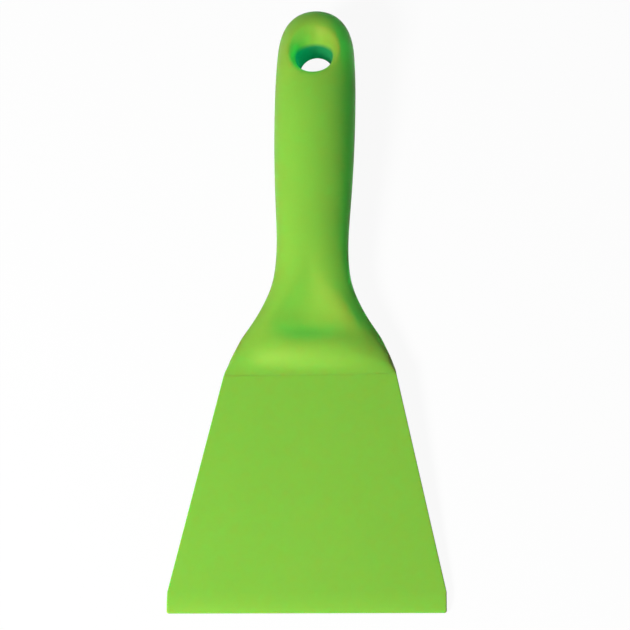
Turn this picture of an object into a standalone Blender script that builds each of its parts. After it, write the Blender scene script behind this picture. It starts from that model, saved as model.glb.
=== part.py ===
"""Hand scraper: a wide stiff plastic blade with a grip moulded over its tang, and a hang hole.

Metres, +Z up. The scraper lies on its back: its front faces up, the blade's edge is at -Y and
the hang hole at +Y. The outer form is a quarter of a coarse cage, mirrored twice and smoothed.
The blade is that form below the seam, with a core that reaches up into the grip; the handle is
that form above the seam, hollow for the core.
"""
import math

import bmesh
import bpy
from mathutils import Vector

# Blade
BLADE_WIDTH = 0.102
EDGE_THICKNESS = 0.001
BEVEL_LENGTH = 0.0038
BEVEL_TOP_THICKNESS = 0.0026
CORNER_FROM_EDGE = 0.0077
ROOT_WIDTH = 0.0657
ROOT_THICKNESS = 0.0047
SEAM_FROM_EDGE = 0.0910

# Rim and thumb scoop, the same on both faces
CREST_THICKNESS = 0.0134
SCOOP_FLOOR_THICKNESS = 0.0047

# Grip, widest a hand's width above the neck
SCRAPER_LENGTH = 0.249
NECK_FROM_SEAM = 0.052
NECK_FROM_EDGE = SEAM_FROM_EDGE + NECK_FROM_SEAM
NECK_WIDTH = 0.0279
NECK_THICKNESS = 0.0180
GRIP_FROM_END = 0.049
GRIP_FROM_EDGE = SCRAPER_LENGTH - GRIP_FROM_END
GRIP_WIDTH = 0.0327
GRIP_THICKNESS = 0.0246
END_WIDTH = 0.0300
END_THICKNESS = 0.0232

# Hang hole
HOLE_FROM_END = 0.024
HOLE_FROM_EDGE = SCRAPER_LENGTH - HOLE_FROM_END
HOLE_DIAMETER = 0.0134
HOLE_FLARE = 0.0064
HOLE_DRAFT = 0.0008
HOLE_LIP_DEPTH = 0.0058

# Core inside the grip
SEAM_SKIN = 0.0013
GRIP_SKIN = 0.0036
CORE_END_BELOW_HOLE = 0.021
CORE_END_FROM_EDGE = HOLE_FROM_EDGE - CORE_END_BELOW_HOLE
CORE_OVERLAP = 0.015
FIT_GAP = 0.0003
CUT_OVERRUN = 0.010

# Plastic
GREEN = (0.223, 0.546, 0.053)
ROUGHNESS = 0.42

FORM_LEVELS = 2
CORE_LEVELS = 1


def mix(start, end, share):
    """The value that lies this share of the way from start to end."""
    return start + (end - start) * share


def pushed_out(neighbour_share):
    """How far a cage point stands out of the smoothed skin that is to pass through its place.

    The skin takes two thirds of the point and a sixth of each neighbour; the neighbours stand at
    this share of the point's own distance.
    """
    return 6 / (4 + 2 * neighbour_share)


# A grip section is a ring of 12 cage points, the hang hole one of 8.
GRIP_RING_SHARE = pushed_out(math.cos(math.tau / 12))
HOLE_RING_SHARE = pushed_out(math.cos(math.tau / 8))


def lifted(values):
    """Widths pushed out by a sixth of their bend, so that the smoothed side passes through them."""
    result = list(values)
    for i in range(1, len(values) - 1):
        bend = values[i - 1] - 2 * values[i] + values[i + 1]
        result[i] = values[i] - bend / 6
    return result


# Where the blade's cross rows stand between its corners and the seam.
BLADE_ROW_SHARES = (0.45, 0.86, 1.0)


def blade_rows():
    """Cross rows of the blade, from its edge to the seam: (along, half width, half thickness)."""
    half = BLADE_WIDTH / 2
    root = ROOT_WIDTH / 2
    rows = [
        (0.0, half, EDGE_THICKNESS / 2),
        (BEVEL_LENGTH, half, BEVEL_TOP_THICKNESS / 2),
        (CORNER_FROM_EDGE, half, BEVEL_TOP_THICKNESS / 2),
    ]
    for share in BLADE_ROW_SHARES:
        rows.append((
            mix(CORNER_FROM_EDGE, SEAM_FROM_EDGE, share),
            mix(half, root, share),
            mix(BEVEL_TOP_THICKNESS, ROOT_THICKNESS, share) / 2,
        ))
    return rows


# Cross rows from the seam to the neck: the two named levels between which the row lies, then
# shares: how far along, how much of the root's width is left, where the inner and outer columns
# stand in the half width, and how far the middle, inner and outer columns rise.
SHOULDER_SHARES = (
    ("root", "crest", 0.067, 0.955, 0.50, 0.985, 0.16, 0.16, 0.13),
    ("root", "crest", 0.135, 0.905, 0.49, 0.930, 0.55, 0.54, 0.37),
    ("root", "crest", 0.198, 0.843, 0.47, 0.875, 0.98, 0.97, 0.64),
    ("root", "crest", 0.260, 0.752, 0.46, 0.835, 1.00, 1.01, 0.82),
    ("floor", "neck", 0.327, 0.628, 0.46, 0.800, 0.14, 0.22, 0.61),
    ("floor", "neck", 0.404, 0.490, 0.45, 0.785, 0.00, 0.11, 0.71),
    ("floor", "neck", 0.510, 0.325, 0.42, 0.790, 0.10, 0.27, 0.80),
    ("floor", "neck", 0.644, 0.160, 0.38, 0.820, 0.38, 0.60, 0.76),
    ("floor", "neck", 0.800, 0.040, 0.41, 0.870, 0.84, 0.88, 0.52),
)
# How sharp the outer column stays past the seam, step by step, as it turns into the scoop's lip.
LIP_CREASE_SHARES = (0.7, 0.45, 0.25, 0.0, 0.20, 0.30, 0.30, 0.25)

# Cross rows from the neck to the grip's widest place: how far along, and how much of the
# growth in width and in thickness is done.
GRIP_SHARES = (
    (0.00, 0.00, 0.00),
    (0.17, 0.12, 0.10),
    (0.40, 0.50, 0.36),
    (0.70, 0.85, 0.67),
    (1.00, 1.00, 1.00),
)
# An oval grip section: where the inner and outer columns stand in the half width, and how high
# in the half thickness.
OVAL_ACROSS_SHARES = (0.0, 0.50, 0.885, 1.0)
OVAL_UP_SHARES = (1.0, 0.885, 0.535, 0.0)


def oval_row(along, half_width, half_thickness):
    """Four cage points of a quarter of an oval section."""
    wide = half_width * GRIP_RING_SHARE
    thick = half_thickness * GRIP_RING_SHARE
    return [
        Vector((wide * across, along, thick * up))
        for across, up in zip(OVAL_ACROSS_SHARES, OVAL_UP_SHARES)
    ]


def form_rows(skin_at_seam=0.0, skin_at_grip=0.0):
    """Cage rows of the outer form up to the hang hole, drawn in by a skin for the core."""
    def flat_row(along, half_width, half_thickness):
        wide = half_width - skin_at_seam
        thick = half_thickness - skin_at_seam
        return [
            Vector((0.0, along, thick)),
            Vector((wide / 2, along, thick)),
            Vector((wide, along, thick)),
            Vector((wide, along, 0.0)),
        ]

    rows = [flat_row(*row) for row in blade_rows()]

    root = ROOT_WIDTH / 2
    neck = NECK_WIDTH / 2
    widths = [row[1] for row in blade_rows()[-2:]]
    widths += [mix(neck, root, shares[3]) for shares in SHOULDER_SHARES]
    widths += [neck, neck]
    widths = lifted(widths)[2:-2]
    levels = {
        "root": (ROOT_THICKNESS / 2, skin_at_seam),
        "crest": (CREST_THICKNESS / 2, skin_at_seam),
        "floor": (SCOOP_FLOOR_THICKNESS / 2, skin_at_seam),
        "neck": (NECK_THICKNESS / 2 * GRIP_RING_SHARE, skin_at_grip),
    }
    for shares, width in zip(SHOULDER_SHARES, widths):
        low, high, along, _, inner, outer, *rises = shares
        low_height, low_skin = levels[low]
        high_height, high_skin = levels[high]
        place = mix(SEAM_FROM_EDGE, NECK_FROM_EDGE, along)
        wide = width * pushed_out(outer) - mix(skin_at_seam, skin_at_grip, along)
        heights = [
            mix(low_height, high_height, rise) - mix(low_skin, high_skin, rise)
            for rise in rises
        ]
        rows.append([
            Vector((0.0, place, heights[0])),
            Vector((wide * inner, place, heights[1])),
            Vector((wide * outer, place, heights[2])),
            Vector((wide, place, 0.0)),
        ])

    for along, wider, thicker in GRIP_SHARES:
        rows.append(oval_row(
            mix(NECK_FROM_EDGE, GRIP_FROM_EDGE, along),
            mix(neck, GRIP_WIDTH / 2, wider) - skin_at_grip,
            mix(NECK_THICKNESS, GRIP_THICKNESS, thicker) / 2 - skin_at_grip,
        ))
    return rows


# Five points round half of the hang hole, from its lower lip to its upper one: how much of the
# flare each has. The flare is widest at the top, where a hook or a peg leads in.
HOLE_FLARE_SHARES = (0.40, 0.45, 0.54, 0.80, 1.0)
# How high the flare's rim stands at the same five points.
RIM_HEIGHT_SHARES = (1.0, 0.94, 0.88, 0.91, 0.97)
# Cross rows beside the hang hole: how much of the change from the grip's to the end's width is
# done, and where the outer column stands in the half width.
HOLE_ROW_SHARES = ((0.3, 0.90), (0.6, 0.92), (1.0, 0.92))
HOLE_ROW_HEIGHT_SHARE = 0.55
# The row between grip and hang hole: how far along, and how much of the change in thickness.
LAST_GRIP_SHARES = (0.6, 0.4)
# Rows over the grip's end, from its middle line outward: across, along past the hang hole, up.
TIP_SHOULDER_SHARES = ((0.0, 0.90, 0.84), (0.42, 0.85, 0.80), (0.74, 0.69, 0.55))
TIP_SHARES = ((0.0, 1.07, 0.0), (0.44, 1.015, 0.0), (0.82, 0.76, 0.0))


def hole_ring(radius, flare, height, drop):
    """Five cage points round half of the hang hole."""
    ring = []
    for i, share in enumerate(HOLE_FLARE_SHARES):
        angle = math.pi * i / 4
        reach = (radius + flare * share) * HOLE_RING_SHARE
        ring.append(Vector((
            reach * math.sin(angle),
            HOLE_FROM_EDGE - reach * math.cos(angle),
            height - drop * share,
        )))
    return ring


def end_rows():
    """Cage rows round the hang hole and over the grip's end."""
    rim = hole_ring(HOLE_DIAMETER / 2, HOLE_FLARE, 0.0, 0.0)
    grip = GRIP_WIDTH / 2 * GRIP_RING_SHARE
    end = END_WIDTH / 2 * GRIP_RING_SHARE
    top = END_THICKNESS / 2 * GRIP_RING_SHARE
    tip = SCRAPER_LENGTH - HOLE_FROM_EDGE
    for point, share in zip(rim, RIM_HEIGHT_SHARES):
        point.z = top * share

    along, thinner = LAST_GRIP_SHARES
    rows = [oval_row(
        mix(GRIP_FROM_EDGE, rim[0].y, along),
        GRIP_WIDTH / 2,
        mix(GRIP_THICKNESS, END_THICKNESS, thinner) / 2,
    )]
    for inner, (narrower, outer) in zip(rim[1:4], HOLE_ROW_SHARES):
        wide = mix(grip, end, narrower)
        rows.append([
            None,
            inner,
            Vector((wide * outer, inner.y, top * HOLE_ROW_HEIGHT_SHARE)),
            Vector((wide, inner.y, 0.0)),
        ])
    rows[1][0] = rim[0]
    rows[3][0] = rim[4]
    for tip_shares in (TIP_SHOULDER_SHARES, TIP_SHARES):
        row = [
            Vector((end * across, HOLE_FROM_EDGE + tip * past, top * up))
            for across, past, up in tip_shares
        ]
        rows.append(row + [None])
    return rows


def cage_faces(bm, rows):
    """Joins cage rows by quads and returns the points as rows of BMVerts."""
    points = [[bm.verts.new(p) if p is not None else None for p in row] for row in rows]
    for lower, upper in zip(points, points[1:]):
        for i in range(len(lower) - 1):
            corners = (lower[i], lower[i + 1], upper[i + 1], upper[i])
            if all(corners):
                bm.faces.new(corners)
    return points


def close_to_middle(bm, row):
    """Closes a row of cage points down to the middle plane."""
    feet = [bm.verts.new((v.co.x, v.co.y, 0.0)) for v in row[:-1]]
    feet.append(row[-1])
    for i in range(len(row) - 2):
        bm.faces.new((row[i + 1], row[i], feet[i], feet[i + 1]))
    bm.faces.new((row[-2], feet[-2], feet[-1]))


def crease(bm, pairs, value):
    """Sharpens the edges between these pairs of cage points."""
    layer = bm.edges.layers.float.get("crease_edge") or bm.edges.layers.float.new("crease_edge")
    for a, b in pairs:
        edge = bm.edges.get((a, b))
        if edge:
            edge[layer] = value


def add_mirror_and_smooth(obj, levels):
    mirror = obj.modifiers.new("quarter to whole", "MIRROR")
    mirror.use_axis = (True, False, True)
    mirror.use_clip = True
    mirror.merge_threshold = FIT_GAP / 100
    smooth = obj.modifiers.new("smooth cage", "SUBSURF")
    smooth.levels = levels
    smooth.render_levels = levels


def new_object(name, bm, collection):
    bmesh.ops.recalc_face_normals(bm, faces=bm.faces)
    mesh = bpy.data.meshes.new(name)
    bm.to_mesh(mesh)
    bm.free()
    for face in mesh.polygons:
        face.use_smooth = True
    obj = bpy.data.objects.new(name, mesh)
    collection.objects.link(obj)
    return obj


def outer_form(name, collection):
    """The whole outside of the scraper, blade, shoulder and grip, with its flared hang hole."""
    bm = bmesh.new()
    lower = form_rows()
    points = cage_faces(bm, lower + end_rows())
    close_to_middle(bm, points[0])

    hole = len(lower) + 2
    grip_corner = (points[hole + 1][2], points[hole + 1][3], points[-1][2], points[-2][2])
    bm.faces.new(grip_corner)

    rim = [points[hole - 1][0], points[hole - 1][1], points[hole][1],
           points[hole + 1][1], points[hole + 1][0]]
    throat = HOLE_DIAMETER / 2
    wall = hole_ring(throat + HOLE_DRAFT, 0.0, END_THICKNESS / 2, HOLE_LIP_DEPTH)
    middle = hole_ring(throat, 0.0, 0.0, 0.0)
    rings = [rim] + [[bm.verts.new(point) for point in ring] for ring in (wall, middle)]
    for above, below in zip(rings, rings[1:]):
        for i in range(len(rim) - 1):
            bm.faces.new((above[i + 1], above[i], below[i], below[i + 1]))

    crease(bm, zip(rings[-1], rings[-1][1:]), 1.0)
    for row in points[:3]:
        crease(bm, zip(row, row[1:]), 1.0)
    seam = len(blade_rows()) - 1
    for lower_row, upper_row in zip(points[:seam], points[1:seam + 1]):
        crease(bm, [(lower_row[2], upper_row[2])], 1.0)
    for step, value in enumerate(LIP_CREASE_SHARES):
        crease(bm, [(points[seam + step][2], points[seam + step + 1][2])], value)

    obj = new_object(name, bm, collection)
    add_mirror_and_smooth(obj, FORM_LEVELS)
    return obj


def core_form(name, gap, collection):
    """The core inside the grip, or with a gap the room for it."""
    bm = bmesh.new()
    rows = form_rows(SEAM_SKIN - gap, GRIP_SKIN - gap)
    rows = [row for row in rows if row[0].y > SEAM_FROM_EDGE - CORE_OVERLAP]
    shift = CORE_END_FROM_EDGE + gap - rows[-1][0].y
    for point in rows[-1]:
        point.y += shift
    points = cage_faces(bm, rows)
    close_to_middle(bm, points[0])
    close_to_middle(bm, points[-1])
    crease(bm, zip(points[0], points[0][1:]), 1.0)
    obj = new_object(name, bm, collection)
    add_mirror_and_smooth(obj, CORE_LEVELS)
    return obj


def cutter_box(name, along_from, along_to, collection):
    """A box that spans the scraper from side to side between two places along it."""
    bm = bmesh.new()
    bmesh.ops.create_cube(bm, size=1.0)
    size = Vector((BLADE_WIDTH + CUT_OVERRUN, along_to - along_from, GRIP_THICKNESS + CUT_OVERRUN))
    for vert in bm.verts:
        vert.co = vert.co * size + Vector((0.0, (along_from + along_to) / 2, 0.0))
    return new_object(name, bm, collection)


def add_boolean(obj, operation, tool):
    boolean = obj.modifiers.new(operation.lower() + " " + tool.name, "BOOLEAN")
    boolean.operation = operation
    boolean.object = tool
    boolean.solver = "EXACT"


def plastic(name, colour, roughness):
    material = bpy.data.materials.new(name)
    material.use_nodes = True
    shader = material.node_tree.nodes["Principled BSDF"]
    shader.inputs["Base Color"].default_value = (*colour, 1.0)
    shader.inputs["Roughness"].default_value = roughness
    shader.inputs["Metallic"].default_value = 0.0
    return material


def lay_down(rest, pieces):
    """Turns the rest empty so that the scraper lies on its back and its centre is over zero."""
    bpy.context.view_layer.update()
    graph = bpy.context.evaluated_depsgraph_get()
    points = []
    for piece in pieces:
        mesh = piece.evaluated_get(graph).to_mesh()
        points += [v.co.copy() for v in mesh.vertices]
    heel = Vector((0.0, BEVEL_LENGTH, -BEVEL_TOP_THICKNESS / 2))
    rest.rotation_euler.x = max(
        math.atan2(heel.z - p.z, p.y - heel.y) for p in points if p.y > SEAM_FROM_EDGE)
    turn = rest.rotation_euler.to_matrix()
    turned = [turn @ p for p in points]
    middle = (min(p.y for p in turned) + max(p.y for p in turned)) / 2
    rest.location = (0.0, -middle, -min(p.z for p in turned))


def collection_named(name):
    collection = bpy.data.collections.new(name)
    bpy.context.scene.collection.children.link(collection)
    return collection


for old in list(bpy.data.objects):
    bpy.data.objects.remove(old, do_unlink=True)

scraper = collection_named("hand_scraper")
cutters = collection_named("cutters")

blade = outer_form("blade", scraper)
handle = outer_form("handle", scraper)

above_seam = cutter_box("above seam", SEAM_FROM_EDGE - FIT_GAP / 2,
                        SCRAPER_LENGTH + CUT_OVERRUN, cutters)
below_seam = cutter_box("below seam", -CUT_OVERRUN, SEAM_FROM_EDGE + FIT_GAP / 2, cutters)
core = core_form("core", 0.0, cutters)
core_room = core_form("core room", FIT_GAP, cutters)

add_boolean(blade, "DIFFERENCE", above_seam)
add_boolean(blade, "UNION", core)
add_boolean(handle, "DIFFERENCE", below_seam)
add_boolean(handle, "DIFFERENCE", core_room)

blade.data.materials.append(plastic("blade_plastic", GREEN, ROUGHNESS))
handle.data.materials.append(plastic("handle_plastic", GREEN, ROUGHNESS))

rest = bpy.data.objects.new("lying_on_its_back", None)
scraper.objects.link(rest)
for piece in (blade, handle, core, core_room, above_seam, below_seam):
    piece.parent = rest
for tool in (core, core_room, above_seam, below_seam):
    tool.hide_render = True
    tool.display_type = "WIRE"
lay_down(rest, (blade, handle))
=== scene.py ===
import math

import bmesh
import bpy
from mathutils import Matrix, Vector


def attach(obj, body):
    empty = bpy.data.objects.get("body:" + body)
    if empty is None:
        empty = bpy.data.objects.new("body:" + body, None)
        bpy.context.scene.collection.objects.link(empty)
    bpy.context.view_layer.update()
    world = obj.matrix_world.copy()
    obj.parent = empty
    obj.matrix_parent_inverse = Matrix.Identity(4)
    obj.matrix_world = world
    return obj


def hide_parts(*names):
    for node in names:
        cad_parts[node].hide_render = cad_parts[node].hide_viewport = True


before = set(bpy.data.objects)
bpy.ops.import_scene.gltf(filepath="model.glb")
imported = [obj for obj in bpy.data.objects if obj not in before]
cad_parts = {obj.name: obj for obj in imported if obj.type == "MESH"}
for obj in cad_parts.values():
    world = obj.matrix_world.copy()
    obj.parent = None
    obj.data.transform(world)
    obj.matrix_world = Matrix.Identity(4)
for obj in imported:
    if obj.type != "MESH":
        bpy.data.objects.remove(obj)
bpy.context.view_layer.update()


# How the scraper lies. Every piece is modelled along the tool: zero is the middle of the scraping
# edge, Y runs up to the hang hole and Z out of the face that is seen. Then it is laid on its back,
# where the blade's lower bevel and the back of the grip touch the table. Sizes are in millimetres.
MM = 0.001
LYING_TILT = math.radians(3.2074)
LYING_PLACE = Vector((0, -124.238, 1.085)) * MM
LYING = Matrix.Translation(LYING_PLACE) @ Matrix.Rotation(LYING_TILT, 4, "X")


# The plastic. Stiff food-grade polypropylene, coloured right through, moulded in a tool with a fine
# spark-eroded grain. It lets green light in, which spreads further where the moulding is thick, so
# that the shaded side of the grip glows a deeper green.
GREEN = (0.206, 0.543, 0.050)
DARKER, LIGHTER = (0.92, 0.965, 0.92), (1.08, 1.035, 1.08)
ROUGHNESS = 0.45
REFRACTION = 1.49
WARM_GLOSS = (1, 0.5, 0.22, 1)
SPREAD = (0.02, 1.0, 1.0)

# How far the light spreads, and how strong the gloss is. The blade is a little glossier than the
# grip, where the mould's grain is coarser, and between these two places one turns into the other.
BLADE_REACH, BLADE_GLOSS = 1.2 * MM, 0.55
GRIP_REACH, GRIP_GLOSS = 60 * MM, 0.15
THICK_FROM, THICK_TO = 96 * MM, 106 * MM

# Clouds in the colour, marks of handling and the grain: their waves to the metre and their detail,
# then how much they change the tone and the roughness.
CLOUDS, HANDLING, GRAIN = (38.0, 3.0), (160.0, 4.0), (4200.0, 2.0)
GRAIN_DEPTH = 0.012 * MM
CLOUD_TONE, GRAIN_TONE = 0.35, 0.25
HANDLING_ROUGHNESS, GRAIN_ROUGHNESS = 0.10, 0.05

# Painted shade: down the hang hole the light has gone from wall to wall, and a deep, dull bluish
# green is painted into the colour there to stand for it. Its middle lies a little below the hole's
# own, as the lower side is the darker one.
HOLE_ALONG = 224 * MM
HOLE_REACH = 7.8 * MM, 8.8 * MM
HOLE_DEPTH = 7.0 * MM, 9.5 * MM
HOLE_PAINTED_SHADE = (0.03, 0.50, 1.6)
HOLE_ROUGHNESS = 0.4


class Value:
    """A socket in a material that can stand in a sum: each sign adds its Math node."""

    def __init__(self, tree, socket=None):
        self.tree = tree
        self.socket = socket

    def node(self, kind, settings=None, inputs=None, output=0):
        """Adds any node: its settings first, then the values or links of its sockets."""
        made = self.tree.nodes.new(kind)
        for name, value in (settings or {}).items():
            setattr(made, name, value)
        for name, value in (inputs or {}).items():
            if isinstance(value, Value):
                self.tree.links.new(value.socket, made.inputs[name])
            else:
                made.inputs[name].default_value = value
        return Value(self.tree, made.outputs[output])

    def maths(self, operation, *operands):
        """Adds a Math node on these values."""
        return self.node("ShaderNodeMath", {"operation": operation}, dict(enumerate(operands)))

    def __add__(self, other):
        return self.maths("ADD", self, other)

    def __radd__(self, other):
        return self.maths("ADD", other, self)

    def __sub__(self, other):
        return self.maths("SUBTRACT", self, other)

    def __rsub__(self, other):
        return self.maths("SUBTRACT", other, self)

    def __mul__(self, other):
        return self.maths("MULTIPLY", self, other)

    def __rmul__(self, other):
        return self.maths("MULTIPLY", other, self)

    def root(self):
        return self.maths("SQRT", self)

    def unsigned(self):
        return self.maths("ABSOLUTE", self)

    def between(self, low, high):
        """0 under low, 1 over high, and a straight rise from one to the other."""
        return self.node("ShaderNodeMapRange", None, {0: self, 1: low, 2: high})

    def noise(self, scale, detail):
        """Soft noise from 0 to 1 with this many waves to the metre, where self is a place."""
        return self.node("ShaderNodeTexNoise", None, {
            "Vector": self, "Scale": scale, "Detail": detail})

    def swing(self, share):
        """Noise turned into a swing to both sides of zero."""
        return (self - 0.5) * share

    def colour(self, first, second):
        """The first colour where self is 0, turning into the second where it is 1."""
        return self.node("ShaderNodeMix", {"data_type": "RGBA"}, {
            0: self, 6: first, 7: second}, output=2)

    def cover(self, output):
        """Makes this shader the surface of its material or of the world."""
        self.tree.links.new(self.socket, self.tree.nodes[output].inputs["Surface"])


def shaded(colour, shares):
    """A colour with each of its channels at this share, ready for a socket."""
    return tuple(c * k for c, k in zip(colour, shares)) + (1,)


def new_finish(name):
    """A material with nothing on its surface yet, and the maker of its nodes."""
    material = bpy.data.materials.new(name)
    material.use_nodes = True
    tree = material.node_tree
    tree.nodes.remove(tree.nodes["Principled BSDF"])
    return material, Value(tree)


def moulded_plastic(name):
    """The green plastic: its clouds and grain, the painted shade down the hang hole, and how it
    takes light.
    """
    material, maker = new_finish(name)
    place = maker.node("ShaderNodeTexCoord", output="Object")
    cloud = place.noise(*CLOUDS)
    grain = place.noise(*GRAIN)
    handling = place.noise(*HANDLING)

    # The place along the tool again, as it was before the piece was laid down.
    on_tool = place.node("ShaderNodeMapping", {"vector_type": "POINT"}, {
        "Vector": place, "Location": LYING.inverted().translation, "Rotation": (-LYING_TILT, 0, 0)})
    across, along, depth = [
        on_tool.node("ShaderNodeSeparateXYZ", None, {0: on_tool}, output=axis) for axis in "XYZ"]
    from_hole = (across * across + (along - HOLE_ALONG) * (along - HOLE_ALONG)).root()
    # Where the painted shade down the hang hole goes; the gloss is duller there too.
    hole_painted_shade_mask = (1 - from_hole.between(*HOLE_REACH)) * (1 - depth.unsigned().between(*HOLE_DEPTH))

    tone = 0.5 + cloud.swing(CLOUD_TONE) + grain.swing(GRAIN_TONE)
    green = tone.colour(shaded(GREEN, DARKER), shaded(GREEN, LIGHTER))
    # Painted shade: a deep, dull bluish green down the hang hole.
    green = hole_painted_shade_mask.colour(green, shaded(GREEN, HOLE_PAINTED_SHADE))
    finish = (ROUGHNESS + handling.swing(HANDLING_ROUGHNESS) + grain.swing(GRAIN_ROUGHNESS)
              + hole_painted_shade_mask * HOLE_ROUGHNESS)
    relief = maker.node("ShaderNodeBump", None, {
        "Strength": 1.0, "Distance": GRAIN_DEPTH, "Height": grain})

    thin, thick = [maker.node("ShaderNodeBsdfPrincipled", {"subsurface_method": spread}, {
        "Base Color": green, "Roughness": finish, "Normal": relief, "IOR": REFRACTION,
        "Specular IOR Level": shine, "Specular Tint": WARM_GLOSS, "Subsurface Weight": 1.0,
        "Subsurface Radius": SPREAD, "Subsurface Scale": reach})
        for spread, reach, shine in (
            ("RANDOM_WALK", BLADE_REACH, BLADE_GLOSS), ("BURLEY", GRIP_REACH, GRIP_GLOSS))]
    body = maker.node("ShaderNodeMixShader", None, {
        0: along.between(THICK_FROM, THICK_TO), 1: thin, 2: thick})
    body.cover("Material Output")
    return material


plastic = moulded_plastic("green polypropylene")


# Tang. The part of the first shot that nobody sees: it runs from the blade up inside the grip and
# holds the two together. A quarter of it is drawn out row by row, then mirrored and smoothed.
SEAM = 91.0
TANG_ROWS = (
    # from the edge, half width, half thickness, how square the section is
    (91.0, 31.7, 1.05, 1.0),
    (94.0, 30.4, 1.05, 1.0),
    (102.0, 26.5, 1.15, 0.97),
    (110.0, 20.0, 1.15, 0.95),
    (118.0, 14.5, 1.2, 0.93),
    (126.0, 10.8, 2.6, 0.92),
    (138.0, 9.6, 4.8, 0.90),
    (156.0, 10.4, 6.0, 0.89),
    (180.0, 12.0, 7.6, 0.89),
    (198.0, 12.6, 8.6, 0.89),
    (203.6, 12.4, 8.4, 0.89),
)
TANG_ROOT = 86.0
TANG_CUT = 0.2
TANG_CLEARANCE = 0.3
TOUCHING = 0.01


def mix(start, end, share):
    """The value that lies this share of the way from start to end."""
    return start + (end - start) * share


def select_only(piece):
    """Selects this piece and nothing else, and makes it the active one."""
    bpy.ops.object.select_all(action="DESELECT")
    piece.select_set(True)
    bpy.context.view_layer.objects.active = piece


def edit():
    """Goes into edit mode on the active object, with nothing selected."""
    bpy.ops.object.mode_set(mode="EDIT")
    bpy.ops.mesh.select_mode(type="VERT")
    bpy.ops.mesh.select_all(action="DESELECT")


def pick(kind, test):
    """Selects, in edit mode, the points, edges or faces that pass the test."""
    bpy.ops.mesh.select_mode(type=kind)
    bpy.ops.mesh.select_all(action="DESELECT")
    mesh = bpy.context.object.data
    form = bmesh.from_edit_mesh(mesh)
    for part in {"VERT": form.verts, "EDGE": form.edges, "FACE": form.faces}[kind]:
        if test(part):
            part.select_set(True)
    form.select_flush_mode()
    bmesh.update_edit_mesh(mesh)


def near(value, wanted):
    """Whether a measure of the mesh is this many mm."""
    return abs(value - wanted * MM) < TOUCHING * MM


def stands_on(v, places):
    """Whether a point is at one of these places in mm."""
    return any((v.co - place * MM).length < TOUCHING * MM for place in places)


def sharpen(test, value=1.0):
    """Keeps the edges whose two points pass the test from being smoothed round."""
    pick("EDGE", lambda e: all(test(v) for v in e.verts))
    bpy.ops.transform.edge_crease(value=value)


def finish_modifier(piece, kind, **settings):
    """Adds a modifier with these settings and applies it."""
    modifier = piece.modifiers.new(kind.lower(), kind)
    for name, value in settings.items():
        setattr(modifier, name, value)
    select_only(piece)
    bpy.ops.object.modifier_apply(modifier=modifier.name)


def pushed_out(neighbour_share):
    """How far a cage point stands out of the smoothed skin that is to pass through its place.

    The skin takes two thirds of the point and a sixth of each neighbour; the neighbours stand at
    this share of the point's own distance.
    """
    return 6 / (4 + 2 * neighbour_share)


def quarter_section(along, half_width, inner, outer, heights, cut):
    """Five cage points of a quarter section, from the middle of the face to the side, in mm.

    The cut is the share of both sides of the corner that is cut away.
    """
    wide = half_width * pushed_out(mix(outer, 1, cut))
    face = Vector((wide * inner, along, heights[1]))
    corner = Vector((wide * outer, along, heights[2]))
    side = Vector((wide, along, 0))
    middle = Vector((0, along, heights[0]))
    return [middle, face, corner.lerp(face, cut), corner.lerp(side, cut), side]


def tang_section(along, half_width, half_thickness, square, room):
    """A row of the tang, or with some room to spare a row of the pocket that it fills."""
    high = half_thickness + room
    return quarter_section(
        along, half_width + room, inner=0.5, outer=square,
        heights=(high, high, high * square ** 3), cut=TANG_CUT)


def place_chain(targets, sideways):
    """Moves the selected chain of points to these places in mm, in order from the middle out."""
    mesh = bpy.context.object.data
    form = bmesh.from_edit_mesh(mesh)
    axis = "xyz".index(sideways)
    chain = sorted((v for v in form.verts if v.select),
                   key=lambda v: (round(v.co[axis], 6), -v.co.z))
    steps = {v.index: target * MM - v.co for v, target in zip(chain, targets, strict=True)}
    for index, step in steps.items():
        pick("VERT", lambda v: v.index == index)
        bpy.ops.transform.translate(value=step)
    pick("VERT", lambda v: v.index in steps)


def draw_row(targets, sideways="x"):
    """Extrudes the selected chain of edges and puts its points at these places in mm."""
    bpy.ops.mesh.select_mode(type="EDGE")
    bpy.ops.mesh.extrude_edges_move()
    bpy.ops.mesh.select_mode(type="VERT")
    place_chain(targets, sideways)


def close_row(targets):
    """Draws the selected row in to the middle plane and closes it there."""
    draw_row([Vector((p.x, p.y, 0)) for p in targets])
    bpy.ops.mesh.select_all(action="SELECT")
    bpy.ops.mesh.remove_doubles(threshold=0.1 * TOUCHING * MM)


def close_root(section):
    """Closes the end that the drawing started from with a flat face, and keeps its edge sharp."""
    root = section[0].y
    pick("VERT", lambda v: near(v.co.y, root))
    close_row(section)
    sharpen(lambda v: near(v.co.y, root))


def start_chain(name, targets):
    """A new piece that is one chain of edges: what is left of a flat grid, put in place."""
    bpy.ops.object.select_all(action="DESELECT")
    bpy.ops.mesh.primitive_grid_add(
        x_subdivisions=len(targets) - 1, y_subdivisions=1, size=1, location=(0.5, 0.5, 0))
    piece = bpy.context.object
    piece.name = name
    bpy.ops.object.transform_apply(location=True)
    edit()
    pick("VERT", lambda v: v.co.y > 0.5)
    bpy.ops.mesh.delete(type="VERT")
    bpy.ops.mesh.select_all(action="SELECT")
    place_chain(targets, "x")
    return piece


def whole_from_quarter(piece, levels):
    """Mirrors a quarter to both sides and to the back, and smooths it."""
    bpy.ops.object.mode_set(mode="OBJECT")
    finish_modifier(piece, "MIRROR", use_axis=(True, False, True), use_clip=True,
                    merge_threshold=0.5 * TOUCHING * MM)
    finish_modifier(piece, "SUBSURF", levels=levels, render_levels=levels)
    edit()
    bpy.ops.mesh.select_all(action="SELECT")
    bpy.ops.mesh.normals_make_consistent(inside=False)
    bpy.ops.object.mode_set(mode="OBJECT")


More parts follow.
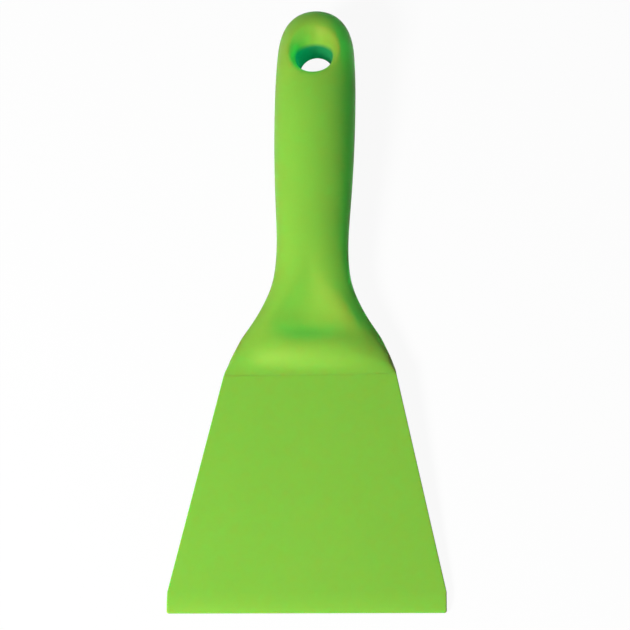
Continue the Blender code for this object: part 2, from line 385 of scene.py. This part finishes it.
def tang_form(name, room=0.0):
    """The tang, or with room to spare the pocket for it in the handle."""
    root = tang_section(TANG_ROOT, *TANG_ROWS[0][1:], room)
    piece = start_chain(name, root)
    for row in TANG_ROWS:
        draw_row(tang_section(*row, room))
    close_row(tang_section(*TANG_ROWS[-1], room))
    close_root(root)
    whole_from_quarter(piece, 2)
    return piece


tang = tang_form("tang")


# Blade. A flat plate that thickens from the edge to the shoulder, moulded in one shot with the
# tang. Both faces are bevelled to the scraping edge, and all edges are just broken.
BLADE_WIDTH = 102.0
EDGE_THICKNESS = 1.0
BEVEL_LENGTH = 3.8
BEVEL_TOP = 2.6
CORNER = 7.7
ROOT_WIDTH = 66.0
ROOT_THICKNESS = 4.7
SEAM_GAP = 0.01
BROKEN_CORNER = 0.8
BROKEN_EDGE = 0.35
BROKEN_OVER = math.radians(40)
SMOOTH_UNDER = math.radians(35)
PARTING_LINE_WIDTH = 0.24
PARTING_LINE_HEIGHT = 0.06
PARTING_LINE_FROM_SEAM = 0.1


def cut_through(place, normal):
    """Cuts a loop of edges through the whole piece."""
    bpy.ops.mesh.select_all(action="SELECT")
    bpy.ops.mesh.bisect(plane_co=place, plane_no=normal)


def raise_parting_line(test):
    """Raises the fine line that the two halves of the mould leave round the middle plane."""
    def on_line(v):
        return near(v.co.z, 0) and test(v)

    pick("EDGE", lambda e: all(on_line(v) for v in e.verts))
    bpy.ops.mesh.bevel(offset=PARTING_LINE_WIDTH / 2 * MM, segments=2, affect="EDGES")
    pick("VERT", on_line)
    bpy.ops.transform.shrink_fatten(value=PARTING_LINE_HEIGHT * MM)


def finish_moulding(piece):
    """Shades the piece smooth up to its real edges, lays it down and gives it its plastic."""
    select_only(piece)
    bpy.ops.object.shade_smooth_by_angle(angle=SMOOTH_UNDER)
    finish_modifier(piece, "WEIGHTED_NORMAL", keep_sharp=True)
    piece.matrix_world = LYING
    bpy.ops.object.transform_apply(location=True, rotation=True, scale=True)
    piece.data.materials.clear()
    piece.data.materials.append(plastic)


bpy.ops.object.select_all(action="DESELECT")
bpy.ops.mesh.primitive_cube_add(size=1, location=(0, 0.5, 0))
blade = bpy.context.object
blade.name = "moulded_blade"
bpy.ops.object.transform_apply(location=True)
blade.scale = (BLADE_WIDTH * MM, (SEAM - SEAM_GAP) * MM, ROOT_THICKNESS * MM)
bpy.ops.object.transform_apply(scale=True)
edit()
for along in (BEVEL_LENGTH, CORNER):
    cut_through((0, along * MM, 0), (0, 1, 0))
for first, last, width, thickness in (
    # from and to along the tool, and the width and thickness there
    (0, 0, BLADE_WIDTH, EDGE_THICKNESS),
    (BEVEL_LENGTH, CORNER, BLADE_WIDTH, BEVEL_TOP),
    (SEAM, SEAM, ROOT_WIDTH, ROOT_THICKNESS),
):
    pick("VERT", lambda v: first - 1 < v.co.y / MM < last + 1)
    bpy.ops.transform.resize(
        value=(width / BLADE_WIDTH, 1, thickness / ROOT_THICKNESS), center_override=(0, 0, 0))

# The two corners of the scraping edge are rounded and all other edges broken. The root is open
# meanwhile, so that its edge stays sharp where it meets the handle.
pick("EDGE", lambda e: all(near(v.co.y, 0) for v in e.verts)
     and near(e.verts[0].co.x, e.verts[1].co.x / MM))
bpy.ops.mesh.bevel(offset=BROKEN_CORNER * MM, segments=4, affect="EDGES")
pick("FACE", lambda f: near(f.calc_center_median().y, SEAM - SEAM_GAP))
bpy.ops.mesh.delete(type="ONLY_FACE")
bpy.ops.object.mode_set(mode="OBJECT")
finish_modifier(blade, "BEVEL", width=BROKEN_EDGE * MM, segments=3,
                limit_method="ANGLE", angle_limit=BROKEN_OVER)
edit()
pick("EDGE", lambda e: e.is_boundary)
bpy.ops.mesh.edge_face_add()

cut_through((0, 0, 0), (0, 0, 1))
raise_parting_line(lambda v: v.co.y < (SEAM - PARTING_LINE_FROM_SEAM) * MM)
bpy.ops.object.mode_set(mode="OBJECT")
finish_modifier(blade, "BOOLEAN", operation="UNION", object=tang, solver="EXACT")
bpy.data.objects.remove(tang)
finish_moulding(blade)
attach(blade, "root")
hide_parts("blade")


# Handle. Shoulder, rim, thumb scoop, oval grip and the flared hang hole in one skin, moulded over
# the tang in the second shot. A quarter of it is drawn out row by row from the seam, then mirrored
# to the other side and to the back, and smoothed.
SHOULDER_ROWS = (
    # from the edge; how far out the four columns beside the middle one stand; how high the middle
    # one and the next three stand. The rim's hump comes first, then the scoop between its two lips
    (93.2, (15.90, 31.90, 32.60, 32.75), (2.51, 2.55, 2.42, 1.60)),
    (95.5, (15.09, 28.90, 31.20, 32.00), (3.70, 3.28, 2.46, 1.60)),
    (98.5, (14.25, 25.29, 29.99, 31.10), (5.77, 5.18, 2.80, 1.53)),
    (101.2, (13.35, 24.32, 28.57, 29.88), (6.90, 6.15, 3.41, 1.41)),
    (103.9, (12.39, 23.35, 27.26, 28.70), (6.95, 6.52, 3.51, 1.37)),
    (106.5, (14.00, 22.00, 26.15, 27.46), (4.86, 5.84, 3.67, 1.33)),
    (109.4, (15.78, 20.30, 24.30, 25.55), (1.44, 5.84, 3.72, 1.40)),
    (113.4, (15.80, 18.36, 21.78, 22.94), (0.16, 5.95, 3.60, 1.47)),
    (118.0, (11.91, 16.24, 19.23, 20.36), (0.72, 6.10, 3.67, 1.67)),
    (124.0, (8.90, 13.93, 16.49, 17.50), (2.93, 6.44, 3.84, 2.01)),
    (131.3, (3.36, 11.35, 13.92, 15.13), (6.00, 7.26, 4.68, 2.72)),
)
SEAM_CUT = 0.02
GRIP_ROWS = (
    # from the edge, half width, half thickness
    (143.0, 13.95, 9.00),
    (152.7, 14.25, 9.33),
    (165.8, 15.15, 10.19),
    (182.9, 16.00, 11.21),
    (200.0, 16.35, 12.30),
    (208.8, 16.35, 12.02),
)
# The oval is a little squarer than an ellipse: the shares of its width and thickness at which its
# face and corner points stand, and the angle from the middle to the face point.
OVAL_FACE, OVAL_CORNER = (0.50, 0.885), (0.885, 0.535)
OVAL_FACE_ANGLE = math.tau / 12
OVAL_CUT = 0.28


def oval_section(along, half_width, half_thickness):
    """Five cage points of a quarter of the grip's oval."""
    high = half_thickness * pushed_out(math.cos(OVAL_FACE_ANGLE))
    return quarter_section(
        along, half_width, inner=OVAL_FACE[0], outer=OVAL_CORNER[0],
        heights=(high, high * OVAL_FACE[1], high * OVAL_CORNER[1]), cut=OVAL_CUT)


flat = ROOT_THICKNESS / 2
seam_section = quarter_section(
    SEAM + SEAM_GAP, ROOT_WIDTH / 2, inner=0.5, outer=1.0, heights=(flat, flat, flat), cut=SEAM_CUT)
handle = start_chain("moulded_grip", seam_section)
for along, across, heights in SHOULDER_ROWS:
    draw_row([Vector((x, along, z)) for x, z in zip((0, *across), (*heights, 0))])
for row in GRIP_ROWS:
    draw_row(oval_section(*row))

# The hang hole: a funnel over a straight throat, from both faces, with a lip that is just broken.
# Five points go round half of each ring, from the lower lip to the upper one, where it is widest.
HOLE_MIDDLE = 225.0
HOLE_STEPS = 4
THROAT_RADIUS = 6.6
MOULD_DRAFT = 0.15
THROAT_HEIGHT = 4.8
HOLE_RINGS = (
    # radii, heights and how sharp the ring stays: the lip, the foot of the funnel, the top of the
    # throat, and the line in the throat where the two halves of the mould met
    ((9.4, 9.7, 10.2, 12.0, 14.4), (12.2, 11.6, 11.5, 11.7, 11.8), 0.3),
    ((7.7, 7.9, 7.8, 8.8, 10.8), (10.9, 10.2, 9.2, 9.0, 8.9), 0.35),
    ((THROAT_RADIUS + MOULD_DRAFT,) * 5, (THROAT_HEIGHT,) * 5, 0.7),
    ((THROAT_RADIUS,) * 5, (0,) * 5, 1.0),
)
HOLE_COVER = 12.0
BESIDE_HOLE = (
    # how far out and how high the corner stands, and how far out the side does
    (15.02, 6.68, 16.69),
    (14.97, 6.68, 16.27),
    (14.45, 6.68, 15.70),
)
CLEAR_OF_HOLE = 12.0


def hole_ring(radii, heights):
    """Five cage points round half of the hang hole."""
    points = []
    for i, (radius, height) in enumerate(zip(radii, heights)):
        angle = math.pi * i / HOLE_STEPS
        reach = radius * pushed_out(math.cos(math.pi / HOLE_STEPS))
        points.append(Vector((
            reach * math.sin(angle), HOLE_MIDDLE - reach * math.cos(angle), height)))
    return points


def beside_hole(middle, inner, corner_out, corner_up, side_out):
    """A row that runs past the hole: its outer points are cut like the grip's."""
    corner = Vector((corner_out, inner.y, corner_up))
    side = Vector((side_out, inner.y, 0))
    return [middle, inner, corner.lerp(inner, OVAL_CUT), corner.lerp(side, OVAL_CUT), side]


# Three rows run past the hole. The point that covers it meanwhile is then taken out again.
lip, *lower_rings = [hole_ring(radii, heights) for radii, heights, crease in HOLE_RINGS]
hole_cover = Vector((0, HOLE_MIDDLE, HOLE_COVER))
for middle, inner, beside in zip((lip[0], hole_cover, lip[4]), lip[1:4], BESIDE_HOLE):
    last_row = beside_hole(middle, inner, *beside)
    draw_row(last_row)
pick("VERT", lambda v: stands_on(v, [hole_cover]))
bpy.ops.mesh.delete(type="VERT")

# The rounded end: two rows past the hole, over the end and on the middle plane, and a corner face.
END_ROWS = (
    ((0, 246.6, 10.2), (5.6, 245.9, 9.8), (9.7, 243.5, 8.3), (12.7, 240.4, 5.4)),
    ((0, 250.7, 0), (5.8, 249.8, 0), (10.6, 246.4, 0), (13.9, 241.3, 0)),
)
pick("VERT", lambda v: stands_on(v, last_row[:4]))
for row in END_ROWS:
    draw_row([Vector(point) for point in row])
corner_points = last_row[3:] + [Vector(row[3]) for row in END_ROWS]
pick("VERT", lambda v: stands_on(v, corner_points))
bpy.ops.mesh.edge_face_add()

# The funnel and the throat are drawn down from the lip to the middle plane.
pick("VERT", lambda v: stands_on(v, lip))
for ring in lower_rings:
    draw_row(ring, "y")
for ring, (radii, heights, crease) in zip([lip] + lower_rings, HOLE_RINGS):
    sharpen(lambda v: stands_on(v, ring), crease)
close_root(seam_section)
whole_from_quarter(handle, 3)

edit()
raise_parting_line(
    lambda v: v.co.y > (SEAM + PARTING_LINE_FROM_SEAM) * MM
    and (v.co / MM - Vector((0, HOLE_MIDDLE, 0))).length > CLEAR_OF_HOLE)
bpy.ops.object.mode_set(mode="OBJECT")
pocket = tang_form("pocket", TANG_CLEARANCE)
finish_modifier(handle, "BOOLEAN", operation="DIFFERENCE", object=pocket, solver="EXACT")
bpy.data.objects.remove(pocket)
finish_moulding(handle)
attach(handle, "root")
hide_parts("handle")


# Studio. A pale table and white surroundings, one large soft lamp from the lower left and a weak
# even light from all round. The camera sees the table white, with a share of its shadow left.
SURROUND_LIGHT = 0.10
TABLE_SIZE = 6
TABLE_SHADE = 0.35
SHADOW_SHARE = 0.15
TABLE_WHITE = 1.10
WHITE = (1, 1, 1, 1)


def seen_directly(maker):
    """1 for what the camera sees itself or in a gloss or through glass, and 0 for light."""
    rays = maker.node("ShaderNodeLightPath")
    seen = [Value(maker.tree, rays.socket.node.outputs[name])
            for name in ("Is Camera Ray", "Is Glossy Ray", "Is Transmission Ray")]
    return (seen[0] + seen[1] + seen[2]).between(0.0, 1.0)


bpy.ops.object.select_all(action="DESELECT")
bpy.ops.mesh.primitive_plane_add(size=TABLE_SIZE, location=(0, 0, 0))
table = bpy.context.object
table.name = "table"
table_paint, maker = new_finish("pale table")
matte = maker.node("ShaderNodeBsdfDiffuse", None, {"Color": (TABLE_SHADE,) * 3 + (1,)})
white = maker.node("ShaderNodeEmission", None, {"Color": WHITE, "Strength": TABLE_WHITE})
top = maker.node("ShaderNodeMixShader", None, {
    0: seen_directly(maker) * (1 - SHADOW_SHARE), 1: matte, 2: white})
top.cover("Material Output")
table.data.materials.append(table_paint)

world = bpy.data.worlds.new("white studio")
bpy.context.scene.world = world
world.use_nodes = True
maker = Value(world.node_tree)
fill = maker.node("ShaderNodeBackground", None, {"Color": WHITE, "Strength": SURROUND_LIGHT})
paper = maker.node("ShaderNodeBackground", None, {"Color": WHITE, "Strength": 1.0})
around = maker.node("ShaderNodeMixShader", None, {0: seen_directly(maker), 1: fill, 2: paper})
around.cover("World Output")

KEY_FROM = Vector((-0.61, -0.56, 0.63)).normalized()
KEY_DISTANCE = 1.1
KEY_SIZE = 0.30
KEY_POWER = 17.6
key = bpy.data.objects.new("key lamp", bpy.data.lights.new("key lamp", "AREA"))
bpy.context.scene.collection.objects.link(key)
key.data.shape = "DISK"
key.data.size = KEY_SIZE
key.data.energy = KEY_POWER
key.location = KEY_FROM * KEY_DISTANCE
key.rotation_euler = KEY_FROM.to_track_quat("Z", "Y").to_euler()


# Camera. It looks down on the face from the blade's end, a little from the right. The focal length
# is the fitted one, in pixels of the 630 pixel wide picture.
CAMERA_PITCH = math.radians(21.6)
CAMERA_YAW = math.radians(4.85)
CAMERA_ROLL = math.radians(1.0)
CAMERA_AIM = Vector((1.47, 116.24, 0))
CAMERA_DISTANCE = 700.0
SENSOR_WIDTH = 36
FOCAL_PIXELS = 1813
PICTURE_WIDTH = 630

back = Vector((
    math.sin(CAMERA_YAW),
    -math.sin(CAMERA_PITCH) * math.cos(CAMERA_YAW),
    math.cos(CAMERA_PITCH) * math.cos(CAMERA_YAW)))
right = Vector((0, 1, 0)).cross(back).normalized()
up = back.cross(right)
turned_right = right * math.cos(CAMERA_ROLL) + up * math.sin(CAMERA_ROLL)
turned_up = up * math.cos(CAMERA_ROLL) - right * math.sin(CAMERA_ROLL)
facing = Matrix((turned_right, turned_up, back)).transposed().to_4x4()
camera = bpy.data.objects.new("camera", bpy.data.cameras.new("camera"))
bpy.context.scene.collection.objects.link(camera)
camera.data.sensor_width = SENSOR_WIDTH
camera.data.lens = SENSOR_WIDTH * FOCAL_PIXELS / PICTURE_WIDTH
eye = Matrix.Translation((CAMERA_AIM + back * CAMERA_DISTANCE) * MM)
camera.matrix_world = LYING @ eye @ facing
bpy.context.scene.camera = camera
bpy.context.scene.view_settings.view_transform = "Standard"
